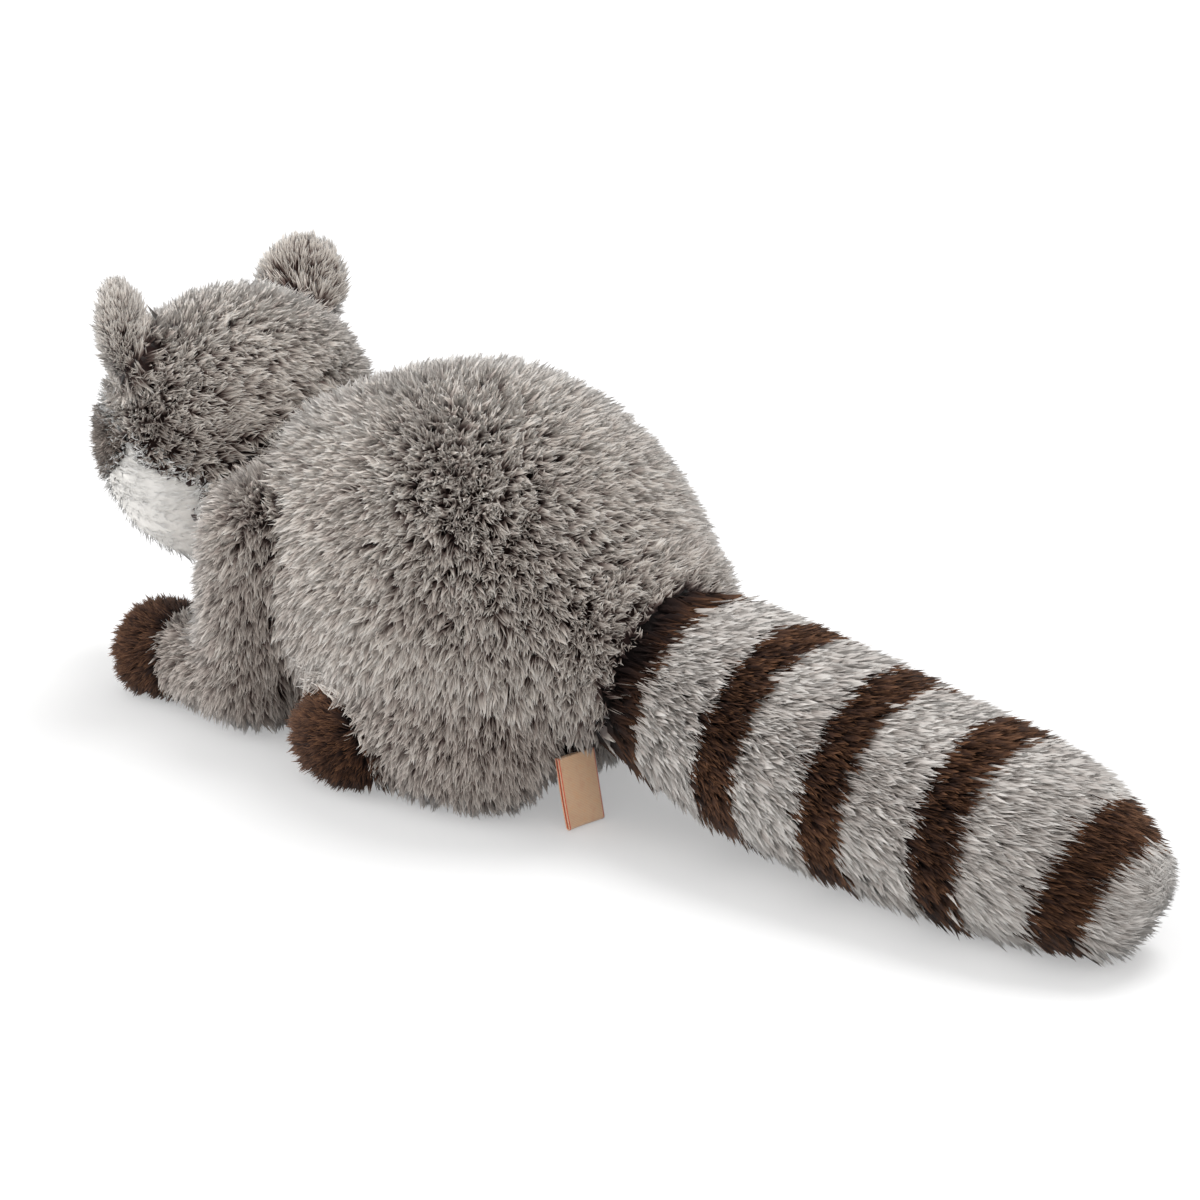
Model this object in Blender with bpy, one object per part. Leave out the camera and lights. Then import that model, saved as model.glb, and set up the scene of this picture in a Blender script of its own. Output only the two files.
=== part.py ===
"""A stuffed plush raccoon lying on its belly, with its ringed tail stretched out behind.

It faces -Y, its own left side is +X and +Z is up. Every soft piece is a closed solid whose surface
is the outside of the pile. Lengths are in metres, angles in degrees.
"""

import math

import bmesh
import bpy
from mathutils import Matrix, Vector

# The gap that sewn pieces keep to each other
SEAM = 0.0004

# Body: cross-sections from the neck to the rump, as half widths, and the heights of belly and back
NECK_Y = -0.100
NECK_HALF_WIDTH = 0.034
NECK_BELLY_Z = 0.024
NECK_BACK_Z = 0.100
CHEST_Y = -0.078
CHEST_HALF_WIDTH = 0.048
CHEST_BELLY_Z = 0.004
CHEST_BACK_Z = 0.117
BARREL_Y = -0.018
BARREL_HALF_WIDTH = 0.066
BARREL_BELLY_Z = -0.004
BARREL_BACK_Z = 0.136
LOIN_Y = 0.026
LOIN_HALF_WIDTH = 0.062
LOIN_BELLY_Z = 0.002
LOIN_BACK_Z = 0.121
RUMP_Y = 0.054
RUMP_HALF_WIDTH = 0.044
RUMP_BELLY_Z = 0.020
RUMP_BACK_Z = 0.092
NECK_ROUNDING = 0.018
RUMP_ROUNDING = 0.020

# Hind legs: a folded haunch inside each side of the barrel, with a dark paw out and ahead of it
HAUNCH_INSIDE = 0.031
HAUNCH_Y = 0.000
HAUNCH_Z = 0.033
HAUNCH_WIDTH = 0.054
HAUNCH_LENGTH = 0.094
HAUNCH_HEIGHT = 0.082
HIND_PAW_OUT = 0.013
HIND_PAW_AHEAD = 0.031
HIND_PAW_Z = 0.015
HIND_PAW_WIDTH = 0.034
HIND_PAW_LENGTH = 0.050
HIND_PAW_HEIGHT = 0.036

# Forelegs: from a shoulder inside the side of the chest down to the elbow, which lies a little
# further in, then forward along the floor to the dark paw
SHOULDER_INSIDE = 0.013
SHOULDER_Y = -0.080
SHOULDER_Z = 0.072
SHOULDER_RADIUS = 0.025
ELBOW_IN = 0.002
ELBOW_Y = -0.091
ELBOW_Z = 0.0205
ELBOW_RADIUS = 0.0225
WRIST_IN = 0.004
WRIST_Y = -0.126
WRIST_Z = 0.016
WRIST_RADIUS = 0.018
FOREPAW_LENGTH = 0.031
FOREPAW_RADIUS = 0.0195
FOREPAW_ROUNDING = 0.0145

# Head. Its face, eye patches, muzzle, eyes and ears are placed from its middle: out to the side,
# ahead of it, and dropped below it
HEAD_Y = -0.131
HEAD_Z = 0.092
HEAD_WIDTH = 0.112
HEAD_LENGTH = 0.087
HEAD_HEIGHT = 0.100
FACE_OUT = 0.024
FACE_AHEAD = 0.018
FACE_DROP = 0.0205
FACE_WIDTH = 0.090
FACE_LENGTH = 0.106
FACE_HEIGHT = 0.087
MASK_OUT = 0.034
MASK_AHEAD = 0.027
MASK_DROP = 0.001
MASK_WIDTH = 0.073
MASK_LENGTH = 0.036
MASK_HEIGHT = 0.026
MASK_SLANT = -9.0
MASK_WRAP = 44.0
MASK_DEPTH = 0.008
MUZZLE_AHEAD = 0.033
MUZZLE_DROP = 0.021
MUZZLE_WIDTH = 0.046
MUZZLE_LENGTH = 0.058
MUZZLE_HEIGHT = 0.038
NOSE_WIDTH = 0.015
NOSE_LENGTH = 0.012
NOSE_HEIGHT = 0.011
NOSE_RISE = 0.0055

# Ears: round pads that lean outwards, sunk into the top of the head where they are sewn on
EAR_OUT = 0.042
EAR_AHEAD = 0.009
EAR_SINK = 0.0120
EAR_WIDTH = 0.034
EAR_HEIGHT = 0.040
EAR_THICKNESS = 0.018
EAR_TURN = 38.0
EAR_LEAN = 12.0

# Safety eyes: a domed button with a shank that a washer holds inside the head
EYE_OUT = 0.023
EYE_RADIUS = 0.0065
SHANK_RADIUS = 0.0025
SHANK_LENGTH = 0.015
WASHER_RADIUS = 0.0065
WASHER_THICKNESS = 0.0016
WASHER_DEPTH = 0.010

# Tail: it starts inside the rump. Its centre line passes three places, each this far along from
# the root, and ends past its sewn rings in a pale tip
TAIL_INSET = 0.014
TAIL_ROOT_Z = 0.052
TAIL_ROOT_RADIUS = 0.031
TAIL_SAG_ALONG = 0.064
TAIL_SAG_Z = 0.0385
TAIL_SAG_RADIUS = 0.0355
TAIL_FLOOR_ALONG = 0.118
TAIL_FLOOR_Z = 0.0315
TAIL_FLOOR_RADIUS = 0.034
TAIL_SLIM_ALONG = 0.164
TAIL_SLIM_Z = 0.027
TAIL_SLIM_RADIUS = 0.030
TAIL_END_Z = 0.019
TAIL_END_RADIUS = 0.0195
TAIL_ROUNDING = 0.0080
ROOT_RING_LENGTH = 0.0377
DARK_RING_LENGTH = 0.0154
GREY_RING_LENGTH = 0.0236
DARK_RINGS = 5
TIP_LENGTH = 0.0068

# Care label: a ribbon folded into a loop, sewn in behind the left haunch, just clear of the floor
LABEL_INSIDE = 0.0095
LABEL_SINK = 0.003
LABEL_WIDTH = 0.015
LABEL_LENGTH = 0.029
LABEL_THICKNESS = 0.0006
LABEL_FOLD_GAP = 0.0010
LABEL_SLANT = 14.0
LABEL_TURN = -10.0
LABEL_CLEARANCE = 0.0008

# How finely the round forms are drawn
ROUND_SIDES = 20
BALL_RINGS = 10
DOME_STEPS = 3
BODY_SECTIONS = 12
ARM_SECTIONS = 4
TAIL_RING_SECTIONS = 4
LABEL_FOLD_STEPS = 6
LENGTH_STEPS = 60
HALVINGS = 24
SMOOTH_ANGLE = math.radians(40)
DIRECTION_STEP = 0.02
FLOOR_TOLERANCE = 1e-6
UP = Vector((0.0, 0.0, 1.0))
BACKWARD = Vector((0.0, 1.0, 0.0))

# Each pile, plastic and ribbon: its name, its linear colour and its roughness
GREY_PILE = ("grey_pile", (0.29, 0.26, 0.24), 0.9)
DARK_PILE = ("dark_pile", (0.035, 0.020, 0.013), 0.9)
WHITE_PILE = ("white_pile", (0.78, 0.76, 0.72), 0.9)
RING_GREY_PILE = ("ring_grey_pile", (0.42, 0.39, 0.37), 0.9)
NOSE_PLASTIC = ("nose_plastic", (0.010, 0.009, 0.009), 0.35)
EYE_PLASTIC = ("eye_plastic", (0.012, 0.007, 0.005), 0.08)
WASHER_PLASTIC = ("washer_plastic", (0.70, 0.70, 0.68), 0.5)
LABEL_RIBBON = ("label_ribbon", (0.80, 0.50, 0.34), 0.55)


def material_of(look):
    """The material with this name, colour and roughness, made once."""
    name, colour, roughness = look
    found = bpy.data.materials.get(name)
    if found:
        return found
    made = bpy.data.materials.new(name)
    made.use_nodes = True
    shader = made.node_tree.nodes["Principled BSDF"]
    shader.inputs["Base Color"].default_value = (*colour, 1.0)
    shader.inputs["Roughness"].default_value = roughness
    shader.inputs["Metallic"].default_value = 0.0
    return made


def object_of(name, shape, look=None):
    """Puts a bmesh into the scene as one smooth-shaded object."""
    bmesh.ops.recalc_face_normals(shape, faces=shape.faces)
    mesh = bpy.data.meshes.new(name)
    shape.to_mesh(mesh)
    shape.free()
    mesh.shade_smooth()
    mesh.set_sharp_from_angle(angle=SMOOTH_ANGLE)
    made = bpy.data.objects.new(name, mesh)
    bpy.context.scene.collection.objects.link(made)
    if look:
        mesh.materials.append(material_of(look))
    return made


def between(stations, at):
    """A Catmull-Rom value between rows of numbers, where at runs from 0 to the last row's index."""
    last = len(stations) - 1
    low = min(int(at), last - 1)
    share = at - low
    rows = [stations[min(max(low + step, 0), last)] for step in (-1, 0, 1, 2)]
    found = []
    for a, b, c, d in zip(*rows):
        slope_b, slope_c = (c - a) / 2, (d - b) / 2
        cubic = 2 * (b - c) + slope_b + slope_c
        square = 3 * (c - b) - 2 * slope_b - slope_c
        found.append(((cubic * share + square) * share + slope_b) * share + b)
    return found


def ring_frame(stations, at):
    """The centre, direction of travel and half sizes of the cross-section at this place."""
    x, y, z, half_width, half_height = between(stations, at)
    last = len(stations) - 1
    ahead = Vector(between(stations, min(at + DIRECTION_STEP, last))[:3])
    behind = Vector(between(stations, max(at - DIRECTION_STEP, 0))[:3])
    return Vector((x, y, z)), (ahead - behind).normalized(), half_width, half_height


def add_ring(shape, centre, along, half_width, half_height, side_axis):
    """The points of one oval cross-section."""
    across = (side_axis - side_axis.dot(along) * along).normalized()
    upward = along.cross(across)
    ring = []
    for index in range(ROUND_SIDES):
        turn = 2 * math.pi * index / ROUND_SIDES
        offset = across * (half_width * math.cos(turn)) + upward * (half_height * math.sin(turn))
        ring.append(shape.verts.new(centre + offset))
    return ring


def add_dome(shape, centre, along, half_width, half_height, side_axis, depth):
    """Rings from a rim to the pole of a rounded end. The depth is negative at a form's start."""
    rings = []
    for step in range(1, DOME_STEPS + 1):
        rise = math.radians(90 * step / (DOME_STEPS + 1))
        middle = centre + along * (depth * math.sin(rise))
        width, height = half_width * math.cos(rise), half_height * math.cos(rise)
        rings.append(add_ring(shape, middle, along, width, height, side_axis))
    return rings, shape.verts.new(centre + along * depth)


def loft(stations, rings, start=0.0, end=None, start_dome=0.0, end_dome=0.0, grow=0.0, facing=None):
    """A closed form through rows of x, y, z, half width, half height. Its ends are flat or domed.

    Its cross-sections stand square to its centre line, or all face the direction given.
    """
    shape = bmesh.new()
    side_axis = Vector((1.0, 0.0, 0.0))
    end = len(stations) - 1 if end is None else end
    frames = []
    for index in range(rings):
        at = start + (end - start) * index / (rings - 1)
        centre, along, half_width, half_height = ring_frame(stations, at)
        frames.append((centre, facing or along, half_width + grow, half_height + grow))
    loops = [add_ring(shape, *frame, side_axis) for frame in frames]
    first_pole = last_pole = None
    if start_dome:
        domed, first_pole = add_dome(shape, *frames[0], side_axis, -start_dome - grow)
        loops = domed[::-1] + loops
    if end_dome:
        domed, last_pole = add_dome(shape, *frames[-1], side_axis, end_dome + grow)
        loops += domed
    for near, far in zip(loops, loops[1:]):
        for index in range(ROUND_SIDES):
            after = (index + 1) % ROUND_SIDES
            shape.faces.new((near[index], near[after], far[after], far[index]))
    close_end(shape, loops[0], first_pole)
    close_end(shape, loops[-1], last_pole)
    return shape


def close_end(shape, ring, pole):
    """Closes a loft with a fan round its pole, or with a flat face where it has none."""
    if pole is None:
        shape.faces.new(ring)
        return
    for index in range(ROUND_SIDES):
        shape.faces.new((ring[index], ring[(index + 1) % ROUND_SIDES], pole))


def ball(centre, size, turn=None, grow=0.0):
    """An ellipsoid of this overall width, length and height, turned about its own centre."""
    shape = bmesh.new()
    radii = [extent / 2 + grow for extent in size]
    place = Matrix.Translation(centre) @ (turn or Matrix.Identity(4)) @ Matrix.Diagonal((*radii, 1.0))
    bmesh.ops.create_uvsphere(
        shape, u_segments=ROUND_SIDES, v_segments=BALL_RINGS, radius=1.0, matrix=place
    )
    return shape


def rod(start, along, radius, length, grow=0.0):
    """A round rod from a point, along a direction."""
    shape = bmesh.new()
    along = along.normalized()
    turn = UP.rotation_difference(along).to_matrix().to_4x4()
    place = Matrix.Translation(start + along * length / 2) @ turn
    bmesh.ops.create_cone(
        shape,
        cap_ends=True,
        segments=ROUND_SIDES,
        radius1=radius + grow,
        radius2=radius + grow,
        depth=length + 2 * grow,
        matrix=place,
    )
    return shape


def use(target, operation, *shapes):
    """Cuts, joins or keeps what is common with each shape, which is then dropped."""
    for shape in shapes:
        helper = object_of("helper", shape)
        step = target.modifiers.new(operation.lower(), "BOOLEAN")
        step.operation = operation
        step.object = helper
        bpy.context.view_layer.objects.active = target
        bpy.ops.object.modifier_apply(modifier=step.name)
        bpy.data.objects.remove(helper)
    target.data.shade_smooth()
    target.data.set_sharp_from_angle(angle=SMOOTH_ANGLE)


def rest_on_floor(target):
    """Cuts off what would lie under the floor, which leaves a flat face to rest on."""
    shape = bmesh.new()
    shape.from_mesh(target.data)
    whole = [*shape.verts, *shape.edges, *shape.faces]
    cut = bmesh.ops.bisect_plane(
        shape, geom=whole, plane_co=(0, 0, 0), plane_no=UP, clear_inner=True, dist=FLOOR_TOLERANCE
    )
    rim = [part for part in cut["geom_cut"] if isinstance(part, bmesh.types.BMEdge)]
    if rim:
        bmesh.ops.contextual_create(shape, geom=rim)
    shape.to_mesh(target.data)
    shape.free()


def body_shape(grow=0.0):
    rows = [
        (NECK_Y, NECK_HALF_WIDTH, NECK_BELLY_Z, NECK_BACK_Z),
        (CHEST_Y, CHEST_HALF_WIDTH, CHEST_BELLY_Z, CHEST_BACK_Z),
        (BARREL_Y, BARREL_HALF_WIDTH, BARREL_BELLY_Z, BARREL_BACK_Z),
        (LOIN_Y, LOIN_HALF_WIDTH, LOIN_BELLY_Z, LOIN_BACK_Z),
        (RUMP_Y, RUMP_HALF_WIDTH, RUMP_BELLY_Z, RUMP_BACK_Z),
    ]
    stations = [(0.0, y, (low + high) / 2, wide, (high - low) / 2) for y, wide, low, high in rows]
    return loft(
        stations,
        BODY_SECTIONS,
        start_dome=NECK_ROUNDING,
        end_dome=RUMP_ROUNDING,
        grow=grow,
        facing=BACKWARD,
    )


def haunch_x():
    return BARREL_HALF_WIDTH - HAUNCH_INSIDE


def haunch_shape(side, grow=0.0):
    centre = Vector((side * haunch_x(), HAUNCH_Y, HAUNCH_Z))
    return ball(centre, (HAUNCH_WIDTH, HAUNCH_LENGTH, HAUNCH_HEIGHT), grow=grow)


def hind_paw_shape(side, grow=0.0):
    centre = Vector((side * (haunch_x() + HIND_PAW_OUT), HAUNCH_Y - HIND_PAW_AHEAD, HIND_PAW_Z))
    return ball(centre, (HIND_PAW_WIDTH, HIND_PAW_LENGTH, HIND_PAW_HEIGHT), grow=grow)


def foreleg_rows(side):
    """A foreleg's shoulder, elbow and wrist: where each lies and its size."""
    shoulder_x = CHEST_HALF_WIDTH - SHOULDER_INSIDE
    return [
        (side * shoulder_x, SHOULDER_Y, SHOULDER_Z, SHOULDER_RADIUS, SHOULDER_RADIUS),
        (side * (shoulder_x - ELBOW_IN), ELBOW_Y, ELBOW_Z, ELBOW_RADIUS, ELBOW_RADIUS),
        (side * (shoulder_x - WRIST_IN), WRIST_Y, WRIST_Z, WRIST_RADIUS, WRIST_RADIUS),
    ]


def upper_arm_shape(side, grow=0.0):
    """A foreleg's upper part, from its shoulder down to its elbow."""
    rows = foreleg_rows(side)[:2]
    return loft(rows, ARM_SECTIONS, start_dome=SHOULDER_RADIUS, end_dome=ELBOW_RADIUS, grow=grow)


def forearm_shape(side, grow=0.0):
    """A foreleg's lower part, from its elbow forward to the seam at its wrist."""
    return loft(foreleg_rows(side)[1:], ARM_SECTIONS, start_dome=ELBOW_RADIUS, grow=grow)


def forepaw_shape(side):
    elbow, wrist = [Vector(row[:3]) for row in foreleg_rows(side)[1:]]
    along = (wrist - elbow).normalized()
    cuff = wrist + along * SEAM
    end = wrist + along * (FOREPAW_LENGTH - FOREPAW_ROUNDING)
    rows = [(*cuff, WRIST_RADIUS, WRIST_RADIUS), (*end, FOREPAW_RADIUS, FOREPAW_RADIUS)]
    return loft(rows, ARM_SECTIONS, end_dome=FOREPAW_ROUNDING)


def head_point(out, ahead, drop):
    """A place that is given from the head's middle."""
    return Vector((out, HEAD_Y - ahead, HEAD_Z - drop))


def head_shape(grow=0.0):
    return ball(head_point(0, 0, 0), (HEAD_WIDTH, HEAD_LENGTH, HEAD_HEIGHT), grow=grow)


def face_shape(side, grow=0.0):
    """The part of the head that one half of the white face takes up, as a ball."""
    centre = head_point(side * FACE_OUT, FACE_AHEAD, FACE_DROP)
    return ball(centre, (FACE_WIDTH, FACE_LENGTH, FACE_HEIGHT), grow=grow)


def mask_shape(side, grow=0.0):
    """The dark patch round one eye, as a ball that wraps round the side of the head."""
    slant = Matrix.Rotation(math.radians(side * MASK_SLANT), 4, "Y")
    turn = Matrix.Rotation(math.radians(side * MASK_WRAP), 4, "Z") @ slant
    centre = head_point(side * MASK_OUT, MASK_AHEAD, MASK_DROP)
    return ball(centre, (MASK_WIDTH, MASK_LENGTH, MASK_HEIGHT), turn, grow)


def muzzle_shape(grow=0.0):
    centre = head_point(0, MUZZLE_AHEAD, MUZZLE_DROP)
    return ball(centre, (MUZZLE_WIDTH, MUZZLE_LENGTH, MUZZLE_HEIGHT), grow=grow)


def nose_shape():
    ahead = MUZZLE_AHEAD + MUZZLE_LENGTH / 2 - NOSE_LENGTH / 4
    return ball(head_point(0, ahead, MUZZLE_DROP - NOSE_RISE), (NOSE_WIDTH, NOSE_LENGTH, NOSE_HEIGHT))


def ear_shape(side):
    """An ear, whose lower edge sinks into the top of the head."""
    middle = Vector((0.0, HEAD_Y, HEAD_Z))
    out, ahead = EAR_OUT / (HEAD_WIDTH / 2), EAR_AHEAD / (HEAD_LENGTH / 2)
    rise = HEAD_HEIGHT / 2 * math.sqrt(max(1 - out**2 - ahead**2, 0.0))
    centre = middle + Vector((side * EAR_OUT, -EAR_AHEAD, rise + EAR_HEIGHT / 2 - EAR_SINK))
    turn = Matrix.Rotation(math.radians(side * EAR_TURN), 4, "Z")
    lean = Matrix.Rotation(math.radians(side * EAR_LEAN), 4, "Y")
    return ball(centre, (EAR_WIDTH, EAR_THICKNESS, EAR_HEIGHT), lean @ turn)


def eye_seat(side):
    """Where an eye's middle lies on the head's surface, and the direction it looks in."""
    radii = Vector((HEAD_WIDTH, HEAD_LENGTH, HEAD_HEIGHT)) / 2
    out, drop = EYE_OUT / radii.x, MASK_DROP / radii.z
    ahead = radii.y * math.sqrt(max(1 - out**2 - drop**2, 0.0))
    offset = Vector((side * EYE_OUT, -ahead, -MASK_DROP))
    outward = Vector([part / radius**2 for part, radius in zip(offset, radii)]).normalized()
    return head_point(0, 0, 0) + offset, outward


def shank_shape(side, grow=0.0):
    seat, outward = eye_seat(side)
    return rod(seat, -outward, SHANK_RADIUS, SHANK_LENGTH, grow)


def washer_shape(side, grow=0.0):
    seat, outward = eye_seat(side)
    start = seat - outward * WASHER_DEPTH
    return rod(start, -outward, WASHER_RADIUS, WASHER_THICKNESS, grow)


def tail_stations():
    """The tail's centre line and size, which runs on past its rings for the length of its tip."""
    rings_length = ROOT_RING_LENGTH + (DARK_RINGS - 1) * (GREY_RING_LENGTH + DARK_RING_LENGTH)
    rows = [
        (0.0, TAIL_ROOT_Z, TAIL_ROOT_RADIUS),
        (TAIL_SAG_ALONG, TAIL_SAG_Z, TAIL_SAG_RADIUS),
        (TAIL_FLOOR_ALONG, TAIL_FLOOR_Z, TAIL_FLOOR_RADIUS),
        (TAIL_SLIM_ALONG, TAIL_SLIM_Z, TAIL_SLIM_RADIUS),
        (rings_length + TIP_LENGTH - TAIL_ROUNDING, TAIL_END_Z, TAIL_END_RADIUS),
    ]
    return [(0.0, RUMP_Y - TAIL_INSET + along, z, radius, radius) for along, z, radius in rows]


def length_to(stations, place):
    """How far this place lies from the start of a form, along its centre line."""
    shares = [index / LENGTH_STEPS for index in range(LENGTH_STEPS + 1)]
    points = [Vector(between(stations, place * share)[:3]) for share in shares]
    return sum((far - near).length for near, far in zip(points, points[1:]))


def place_at_length(stations, length):
    """The place along a form's centre line that lies this far from its start."""
    low, high = 0.0, float(len(stations) - 1)
    for _ in range(HALVINGS):
        middle = (low + high) / 2
        if length_to(stations, middle) < length:
            low = middle
        else:
            high = middle
    return low


def cut_from_mesh(source):
    """A helper object's mesh, taken as a shape to cut with, and the helper dropped."""
    shape = bmesh.new()
    shape.from_mesh(source.data)
    bpy.data.objects.remove(source)
    return shape


def make_body():
    body = object_of("body", body_shape(), GREY_PILE)
    use(body, "DIFFERENCE", head_shape(SEAM))
    for side in (1, -1):
        use(body, "DIFFERENCE", haunch_shape(side, SEAM))
        use(body, "DIFFERENCE", upper_arm_shape(side, SEAM), forearm_shape(side, SEAM))
    rest_on_floor(body)


def make_legs(side, suffix):
    haunch = object_of(f"haunch_{suffix}", haunch_shape(side), GREY_PILE)
    rest_on_floor(haunch)
    hind_paw = object_of(f"hind_paw_{suffix}", hind_paw_shape(side), DARK_PILE)
    use(hind_paw, "DIFFERENCE", haunch_shape(side, SEAM), body_shape(SEAM))
    rest_on_floor(hind_paw)
    foreleg = object_of(f"foreleg_{suffix}", upper_arm_shape(side), GREY_PILE)
    use(foreleg, "UNION", forearm_shape(side))
    use(foreleg, "DIFFERENCE", head_shape(SEAM), haunch_shape(side, SEAM), hind_paw_shape(side, SEAM))
    rest_on_floor(foreleg)
    rest_on_floor(object_of(f"forepaw_{suffix}", forepaw_shape(side), DARK_PILE))


def mask_pocket(side):
    """The room that an eye patch takes up in the head, with a seam's gap all round."""
    pocket = object_of("pocket", head_shape(MASK_DEPTH))
    use(pocket, "DIFFERENCE", head_shape(-MASK_DEPTH - SEAM))
    use(pocket, "INTERSECT", mask_shape(side, SEAM))
    return cut_from_mesh(pocket)


def make_eye(side, suffix):
    seat, outward = eye_seat(side)
    eye = object_of(f"eye_{suffix}", ball(seat + outward * SEAM, [2 * EYE_RADIUS] * 3), EYE_PLASTIC)
    use(eye, "DIFFERENCE", head_shape(SEAM))
    inside_button = seat + outward * EYE_RADIUS / 2
    use(eye, "UNION", rod(inside_button, -outward, SHANK_RADIUS, SHANK_LENGTH + EYE_RADIUS / 2))
    washer = object_of(f"eye_washer_{suffix}", washer_shape(side), WASHER_PLASTIC)
    use(washer, "DIFFERENCE", shank_shape(side, SEAM))


def make_head():
    head = object_of("head", head_shape(), GREY_PILE)
    use(head, "DIFFERENCE", face_shape(1, SEAM), face_shape(-1, SEAM))
    face = object_of("face", head_shape(), WHITE_PILE)
    both_halves = object_of("both_halves", face_shape(1))
    use(both_halves, "UNION", face_shape(-1))
    use(face, "INTERSECT", cut_from_mesh(both_halves))
    for side, suffix in ((1, "left"), (-1, "right")):
        mask = object_of(f"mask_{suffix}", head_shape(), DARK_PILE)
        use(mask, "DIFFERENCE", head_shape(-MASK_DEPTH))
        use(mask, "INTERSECT", mask_shape(side))
        use(head, "DIFFERENCE", mask_pocket(side))
        use(face, "DIFFERENCE", mask_pocket(side))
        for part in (head, face, mask):
            use(part, "DIFFERENCE", shank_shape(side, SEAM), washer_shape(side, SEAM))
        make_eye(side, suffix)
    muzzle = object_of("muzzle", muzzle_shape(), WHITE_PILE)
    use(muzzle, "DIFFERENCE", head_shape(SEAM))
    nose = object_of("nose", nose_shape(), NOSE_PLASTIC)
    use(nose, "DIFFERENCE", muzzle_shape(SEAM))


def make_ears():
    for side, suffix in ((1, "left"), (-1, "right")):
        ear = object_of(f"ear_{suffix}", ear_shape(side), GREY_PILE)
        use(ear, "DIFFERENCE", head_shape(SEAM))


def tail_ring_shape(start, length, grow=0.0):
    """The stretch of the tail that begins this far along its centre line, less half a seam at each end."""
    stations = tail_stations()
    low = place_at_length(stations, start + SEAM / 2)
    high = place_at_length(stations, start + length - SEAM / 2)
    return loft(stations, TAIL_RING_SECTIONS, low, high, grow=grow)


def make_tail():
    start = 0.0
    for index in range(2 * DARK_RINGS - 1):
        dark = index % 2 == 0
        length = ROOT_RING_LENGTH if index == 0 else DARK_RING_LENGTH if dark else GREY_RING_LENGTH
        shade, look = ("dark", DARK_PILE) if dark else ("grey", RING_GREY_PILE)
        ring = object_of(f"tail_ring_{index + 1}_{shade}", tail_ring_shape(start, length), look)
        if index == 0:
            use(ring, "DIFFERENCE", body_shape(SEAM), haunch_shape(1, SEAM), haunch_shape(-1, SEAM))
        rest_on_floor(ring)
        start += length
    stations = tail_stations()
    tip_start = place_at_length(stations, start + SEAM / 2)
    tip = loft(stations, TAIL_RING_SECTIONS, tip_start, end_dome=TAIL_ROUNDING)
    rest_on_floor(object_of("tail_tip_grey", tip, RING_GREY_PILE))


def label_layer(offset, fold_height):
    """One face of the folded ribbon in section: down one layer, round the fold and up the other."""
    line = [Vector((offset, 0.0))]
    for index in range(LABEL_FOLD_STEPS + 1):
        turn = math.pi * index / LABEL_FOLD_STEPS
        line.append(Vector((offset * math.cos(turn), -fold_height - offset * math.sin(turn))))
    line.append(Vector((-offset, 0.0)))
    return line


def make_label():
    outer = LABEL_FOLD_GAP / 2 + LABEL_THICKNESS
    fold_height = LABEL_LENGTH - outer
    outline = label_layer(outer, fold_height) + label_layer(LABEL_FOLD_GAP / 2, fold_height)[::-1]
    shape = bmesh.new()
    near = [shape.verts.new((-LABEL_WIDTH / 2, point.x, point.y)) for point in outline]
    drawn = bmesh.ops.extrude_face_region(shape, geom=[shape.faces.new(near)])
    moved = [part for part in drawn["geom"] if isinstance(part, bmesh.types.BMVert)]
    bmesh.ops.translate(shape, verts=moved, vec=(LABEL_WIDTH, 0.0, 0.0))
    slant = math.radians(LABEL_SLANT)
    root_x = haunch_x() - LABEL_INSIDE
    root_y = HAUNCH_Y + HAUNCH_LENGTH / 2 - LABEL_SINK
    root_z = LABEL_CLEARANCE + fold_height * math.cos(slant) + outer
    place = Matrix.Translation((root_x, root_y, root_z))
    turn = Matrix.Rotation(math.radians(LABEL_TURN), 4, "Z") @ Matrix.Rotation(slant, 4, "X")
    bmesh.ops.transform(shape, matrix=place @ turn, verts=shape.verts)
    label = object_of("care_label", shape, LABEL_RIBBON)
    use(label, "DIFFERENCE", body_shape(SEAM), haunch_shape(1, SEAM))
    use(label, "DIFFERENCE", tail_ring_shape(0.0, ROOT_RING_LENGTH, SEAM))


def centre_on_origin():
    """Moves the toy so that the middle of its overall box, seen from above, is at the origin."""
    parts = list(bpy.context.scene.objects)
    lengthwise = [vert.co.y for part in parts for vert in part.data.vertices]
    for part in parts:
        part.location.y = -(min(lengthwise) + max(lengthwise)) / 2


def main():
    for old in list(bpy.data.objects):
        bpy.data.objects.remove(old)
    make_body()
    make_legs(1, "left")
    make_legs(-1, "right")
    make_head()
    make_ears()
    make_tail()
    make_label()
    centre_on_origin()


main()
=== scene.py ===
"""The looks of the stuffed raccoon: sewn plush panels with real pile, plastic eyes and nose, a label.

The toy faces -Y, its own left side is +X and +Z is up. Lengths are in metres, angles in degrees.
Every soft CAD solid is stood for by a panel of backing cloth, with strands of pile that reach out to
the solid's surface.
"""

import math
from typing import Callable, NamedTuple

import bmesh
import bpy
import numpy as np
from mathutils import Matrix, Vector, noise
from mathutils.bvhtree import BVHTree


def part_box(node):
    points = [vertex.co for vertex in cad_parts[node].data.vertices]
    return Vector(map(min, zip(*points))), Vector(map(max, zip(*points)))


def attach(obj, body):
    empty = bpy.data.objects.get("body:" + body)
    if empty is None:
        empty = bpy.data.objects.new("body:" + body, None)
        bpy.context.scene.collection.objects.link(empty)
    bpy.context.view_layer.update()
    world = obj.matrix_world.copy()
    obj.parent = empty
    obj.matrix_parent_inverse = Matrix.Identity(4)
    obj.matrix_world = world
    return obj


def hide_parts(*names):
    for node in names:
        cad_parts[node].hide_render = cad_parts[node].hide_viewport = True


MM = 0.001
UP = np.array((0.0, 0.0, 1.0))
BACKWARD = np.array((0.0, 1.0, 0.0))
SEED = 7

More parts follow.
